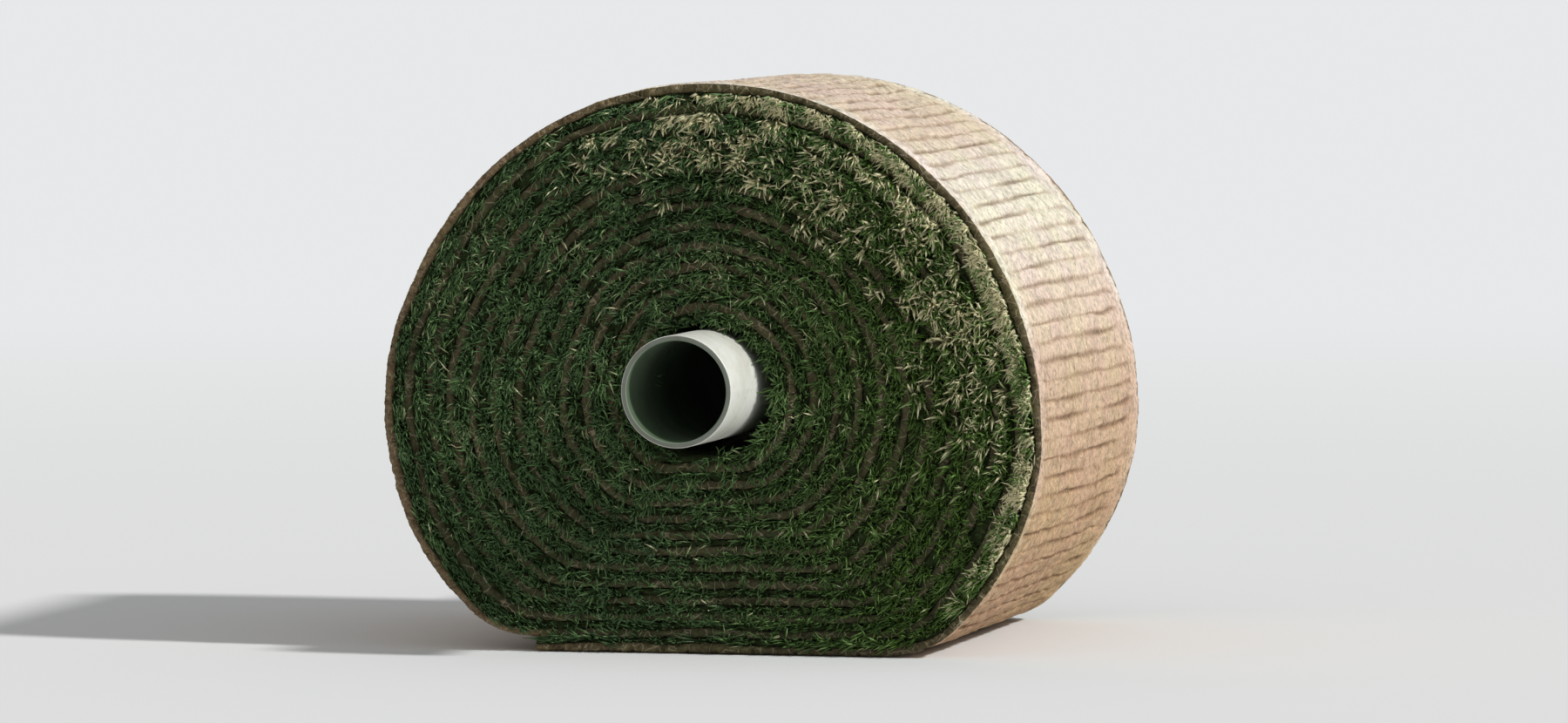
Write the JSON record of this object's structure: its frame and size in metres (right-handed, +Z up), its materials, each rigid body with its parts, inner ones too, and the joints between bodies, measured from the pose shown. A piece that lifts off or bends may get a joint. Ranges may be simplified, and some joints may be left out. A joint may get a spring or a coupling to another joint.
{
  "type": "roll of turf",
  "caption": "Large roll of cut turf, wound soil side out on a plastic pipe and sagged to a flat-bottomed oval.",
  "frame": {"origin": "on the ground, in the middle of the roll's width and halfway between its two ends", "axes": "+Z up, Y along the pipe with the end that the picture shows towards -Y, +X to the right as seen from that end"},
  "size_m": [0.9701, 1.09, 0.8198],
  "materials": {
    "turf": "matte",
    "pipe": "satin"
  },
  "bodies": {
    "root": {"turf_roll": "turf", "core_tube": "pipe"}
  },
  "joints": []
}
